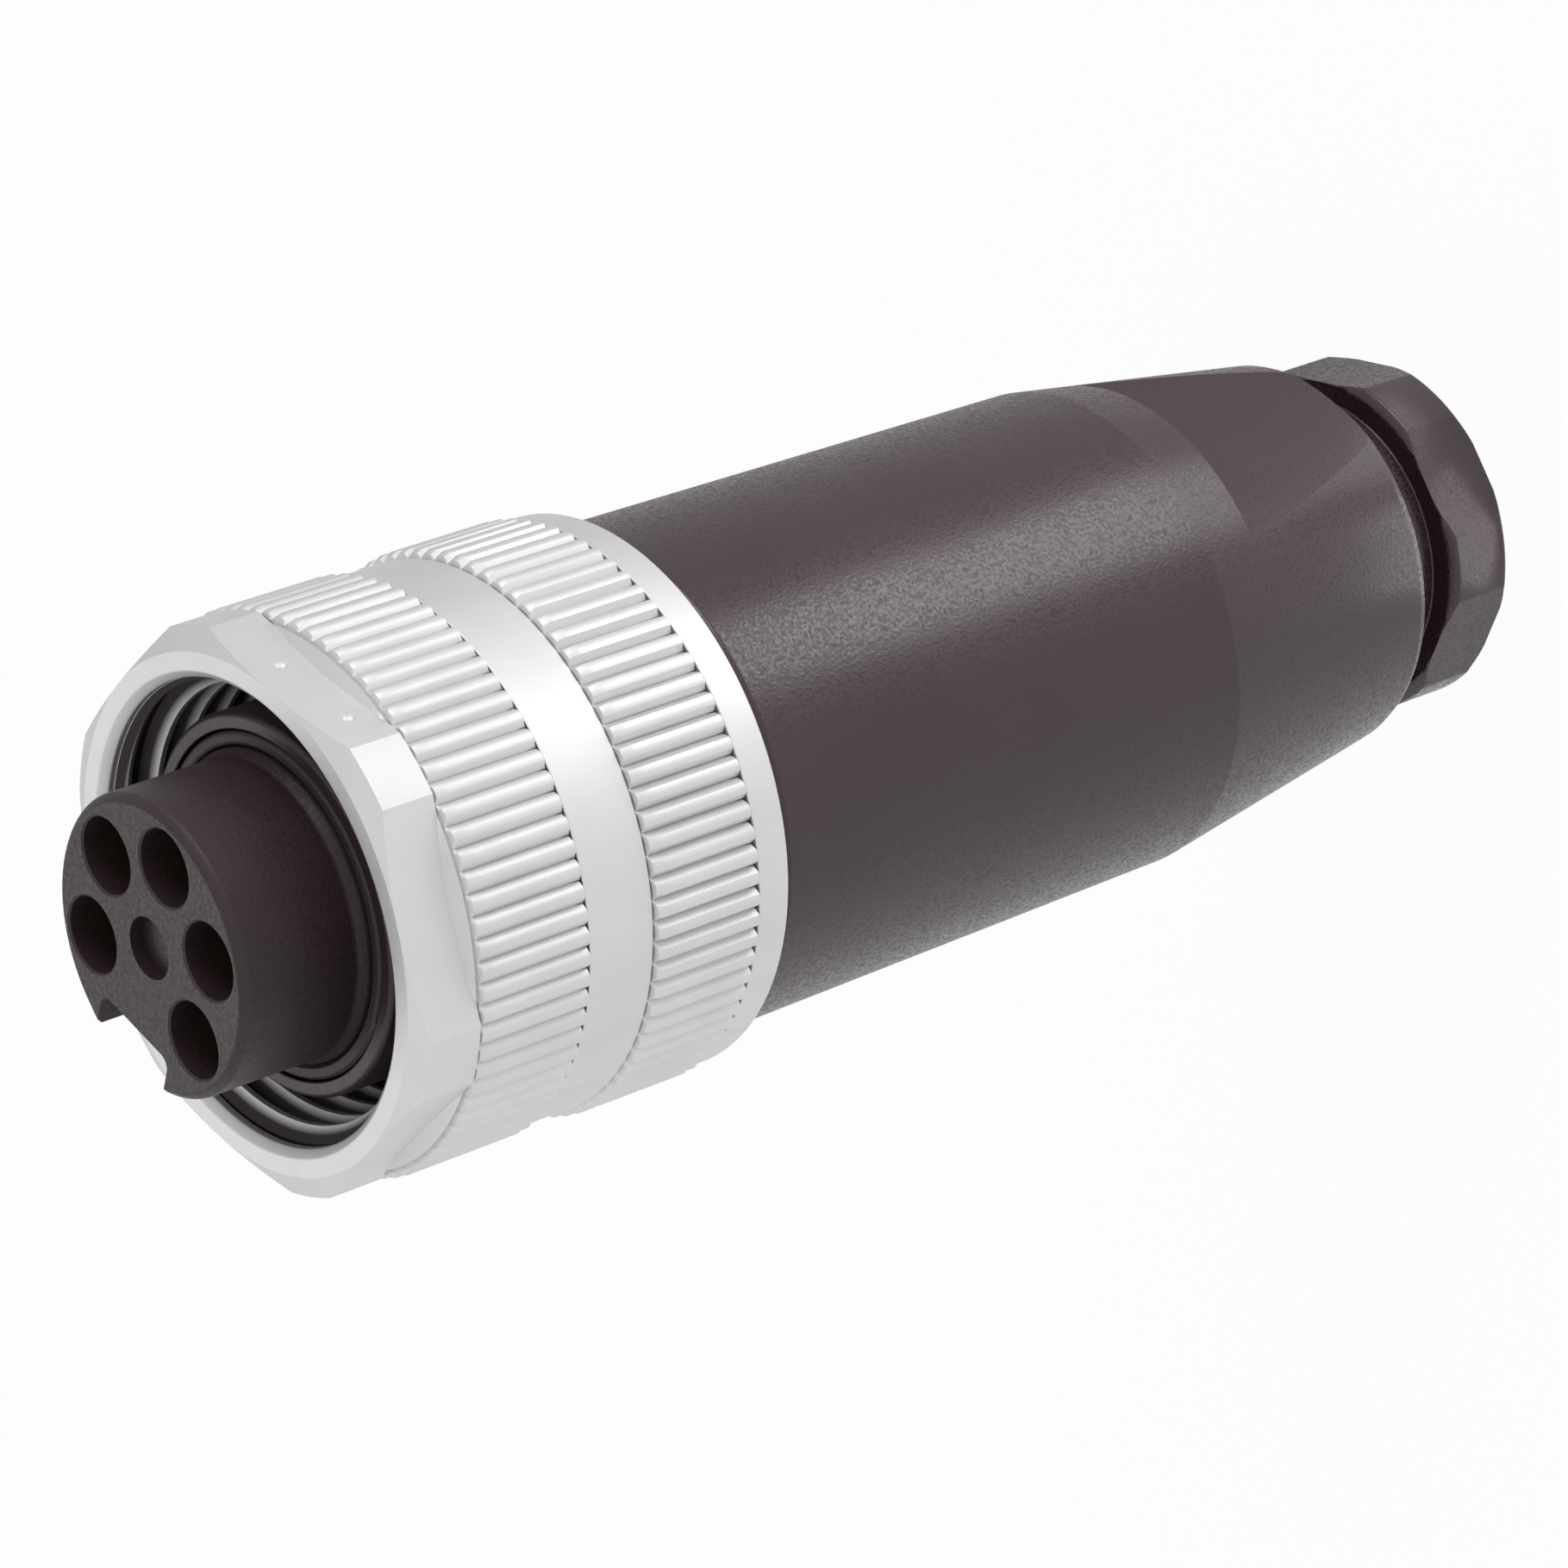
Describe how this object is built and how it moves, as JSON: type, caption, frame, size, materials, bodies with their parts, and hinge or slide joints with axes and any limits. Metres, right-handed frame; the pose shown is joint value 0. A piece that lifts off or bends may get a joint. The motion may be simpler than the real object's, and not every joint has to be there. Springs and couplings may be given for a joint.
{
  "type": "circular connector",
  "caption": "Round cable socket with keyed insert, slotted contacts, loose knurled and hexagonal coupling ring, tapered plastic handle and cable gland.",
  "frame": {"origin": "centre of the gland nut's rear face, on which the connector stands", "axes": "+Z along the axis towards the mating end, +X through the insert's keyway"},
  "size_m": [0.0274, 0.0274, 0.0774],
  "materials": {
    "black_plastic": "fine moulded grain",
    "insert_plastic": "smooth moulded",
    "nylon": "smooth moulded",
    "seal_rubber": "matt",
    "satin_nickel": "satin nickel plate",
    "gold_plate": "gold plate",
    "zinc_steel": "zinc plate"
  },
  "bodies": {
    "handle": {"housing_sleeve": "black_plastic", "housing_seal": "seal_rubber", "carrier_shell": "black_plastic", "face_seal": "seal_rubber", "socket_insert": "insert_plastic", "terminal_block": "insert_plastic", "clamp_basket": "nylon", "cable_seal": "seal_rubber", "contact_1": "gold_plate", "contact_2": "gold_plate", "contact_3": "gold_plate", "contact_4": "gold_plate", "contact_5": "gold_plate", "terminal_screw_1": "zinc_steel", "terminal_screw_2": "zinc_steel", "terminal_screw_3": "zinc_steel", "terminal_screw_4": "zinc_steel", "terminal_screw_5": "zinc_steel"},
    "ring": {"coupling_ring": "satin_nickel"},
    "washer": {"slip_washer": "nylon"},
    "nut": {"gland_nut": "black_plastic"}
  },
  "joints": [
    {"name": "coupling_ring_spin", "type": "hinge", "parent": "handle", "child": "ring", "pos_m": [0, 0, 0.0609], "axis": [0, 0, 1], "continuous": true},
    {"name": "gland_travel", "type": "slide", "parent": "handle", "child": "washer", "axis": [0, 0, 1], "range_m": [-0.0051, 0.0011]},
    {"name": "gland_turn", "type": "hinge", "parent": "washer", "child": "nut", "pos_m": [0, 0, 0.0085], "axis": [0, 0, 1], "range_deg": [-1270, 275]}
  ],
  "couplings": [
    {"joint": "gland_travel", "follows": "gland_turn", "m_per_rad": 0.00022459}
  ]
}
